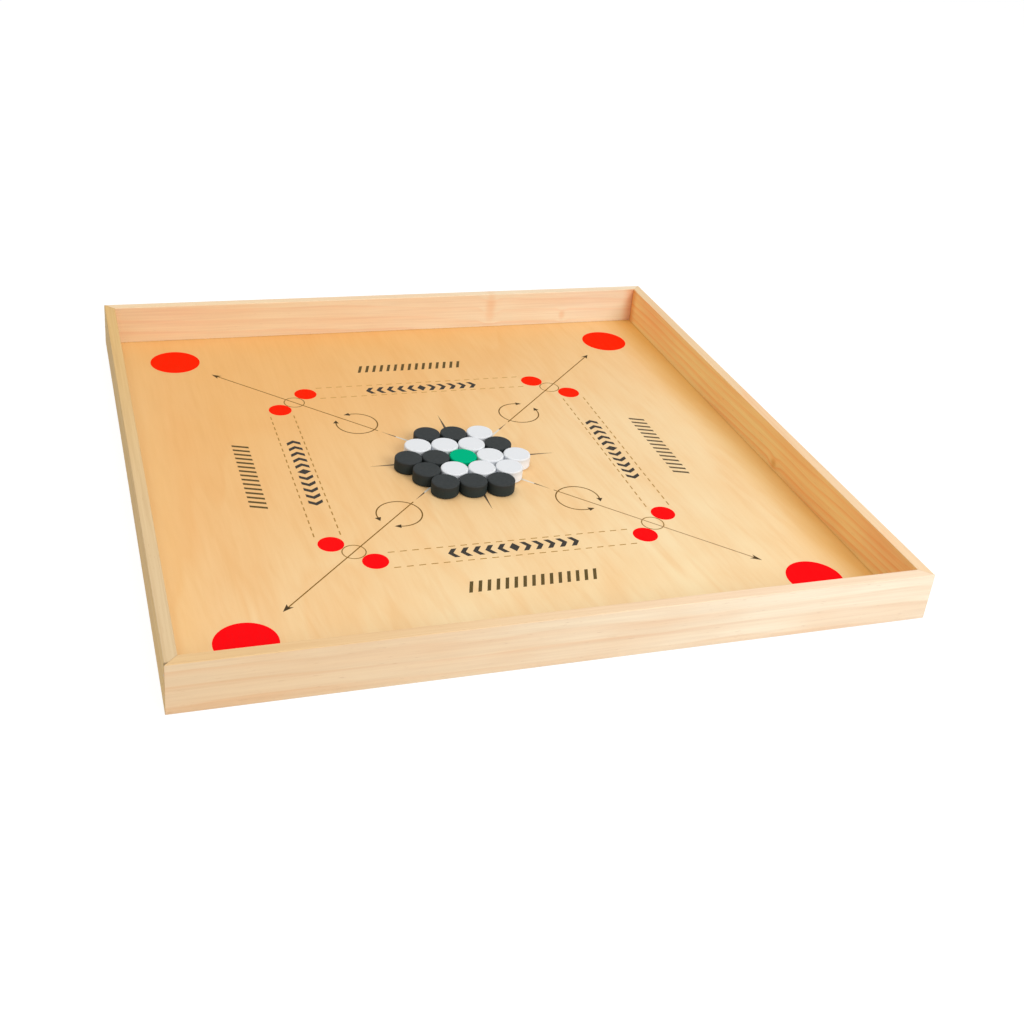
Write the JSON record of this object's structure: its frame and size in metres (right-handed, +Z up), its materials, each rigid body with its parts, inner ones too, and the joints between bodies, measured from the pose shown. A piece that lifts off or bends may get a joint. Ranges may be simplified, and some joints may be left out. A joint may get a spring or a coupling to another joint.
{
  "type": "tabletop puck game",
  "caption": "Square open wooden tray with mitred rails round a thin printed plywood bed, and loose round pucks racked in a hexagon near its middle.",
  "frame": {"origin": "the middle of the tray's underside, on the surface that it stands on", "axes": "+Z up out of the open tray, -Y the front rail nearest the viewer, +X to the viewer's right, along the front rail"},
  "size_m": [0.6, 0.6, 0.042],
  "materials": {
    "printed_plywood": "birch plywood under clear satin lacquer, screen printed in red and charcoal",
    "pine": "planed pine, thin clear satin lacquer",
    "steel": "plain drawn steel wire brads",
    "black_plastic": "moulded, satin charcoal black",
    "white_plastic": "moulded, satin white",
    "green_plastic": "moulded, satin green"
  },
  "bodies": {
    "tray": {"playing_bed": "printed_plywood", "front_rail": "pine", "right_rail": "pine", "back_rail": "pine", "left_rail": "pine", "corner_brads": "steel", "bed_brads": "steel"},
    "black_puck_1": {"black_puck_1": "black_plastic"},
    "black_puck_2": {"black_puck_2": "black_plastic"},
    "white_puck_1": {"white_puck_1": "white_plastic"},
    "white_puck_2": {"white_puck_2": "white_plastic"},
    "white_puck_3": {"white_puck_3": "white_plastic"},
    "white_puck_4": {"white_puck_4": "white_plastic"},
    "black_puck_3": {"black_puck_3": "black_plastic"},
    "black_puck_4": {"black_puck_4": "black_plastic"},
    "black_puck_5": {"black_puck_5": "black_plastic"},
    "queen_puck": {"queen_puck": "green_plastic"},
    "white_puck_5": {"white_puck_5": "white_plastic"},
    "white_puck_6": {"white_puck_6": "white_plastic"},
    "black_puck_6": {"black_puck_6": "black_plastic"},
    "white_puck_7": {"white_puck_7": "white_plastic"},
    "white_puck_8": {"white_puck_8": "white_plastic"},
    "white_puck_9": {"white_puck_9": "white_plastic"},
    "black_puck_7": {"black_puck_7": "black_plastic"},
    "black_puck_8": {"black_puck_8": "black_plastic"},
    "black_puck_9": {"black_puck_9": "black_plastic"}
  },
  "joints": [
    {"name": "black_puck_1_slide", "type": "slide", "parent": "tray", "child": "black_puck_1", "axis": [-0.4305, 0.9026, 0], "range_m": [0, 0.2701]},
    {"name": "black_puck_2_slide", "type": "slide", "parent": "tray", "child": "black_puck_2", "axis": [0.0785, 0.9969, 0], "range_m": [0, 0.2466]},
    {"name": "white_puck_1_slide", "type": "slide", "parent": "tray", "child": "white_puck_1", "axis": [0.5664, 0.8241, 0], "range_m": [0, 0.3007]},
    {"name": "white_puck_2_slide", "type": "slide", "parent": "tray", "child": "white_puck_2", "axis": [-0.8241, 0.5664, 0], "range_m": [0, 0.2862]},
    {"name": "white_puck_3_lift", "type": "slide", "parent": "tray", "child": "white_puck_3", "axis": [0, 0, 1], "range_m": [0, 0.045]},
    {"name": "white_puck_4_lift", "type": "slide", "parent": "tray", "child": "white_puck_4", "axis": [0, 0, 1], "range_m": [0, 0.045]},
    {"name": "black_puck_3_slide", "type": "slide", "parent": "tray", "child": "black_puck_3", "axis": [0.9026, 0.4305, 0], "range_m": [0, 0.2686]},
    {"name": "black_puck_4_slide", "type": "slide", "parent": "tray", "child": "black_puck_4", "axis": [-0.9969, 0.0785, 0], "range_m": [0, 0.2222]},
    {"name": "black_puck_5_lift", "type": "slide", "parent": "tray", "child": "black_puck_5", "axis": [0, 0, 1], "range_m": [0, 0.045]},
    {"name": "queen_puck_lift", "type": "slide", "parent": "tray", "child": "queen_puck", "axis": [0, 0, 1], "range_m": [0, 0.045]},
    {"name": "white_puck_5_lift", "type": "slide", "parent": "tray", "child": "white_puck_5", "axis": [0, 0, 1], "range_m": [0, 0.045]},
    {"name": "white_puck_6_slide", "type": "slide", "parent": "tray", "child": "white_puck_6", "axis": [0.9969, -0.0785, 0], "range_m": [0, 0.2322]},
    {"name": "black_puck_6_slide", "type": "slide", "parent": "tray", "child": "black_puck_6", "axis": [-0.9026, -0.4305, 0], "range_m": [0, 0.2575]},
    {"name": "white_puck_7_lift", "type": "slide", "parent": "tray", "child": "white_puck_7", "axis": [0, 0, 1], "range_m": [0, 0.045]},
    {"name": "white_puck_8_lift", "type": "slide", "parent": "tray", "child": "white_puck_8", "axis": [0, 0, 1], "range_m": [0, 0.045]},
    {"name": "white_puck_9_slide", "type": "slide", "parent": "tray", "child": "white_puck_9", "axis": [0.8241, -0.5664, 0], "range_m": [0, 0.2984]},
    {"name": "black_puck_7_slide", "type": "slide", "parent": "tray", "child": "black_puck_7", "axis": [-0.5664, -0.8241, 0], "range_m": [0, 0.2703]},
    {"name": "black_puck_8_slide", "type": "slide", "parent": "tray", "child": "black_puck_8", "axis": [-0.0785, -0.9969, 0], "range_m": [0, 0.2215]},
    {"name": "black_puck_9_slide", "type": "slide", "parent": "tray", "child": "black_puck_9", "axis": [0.4305, -0.9026, 0], "range_m": [0, 0.2424]}
  ]
}
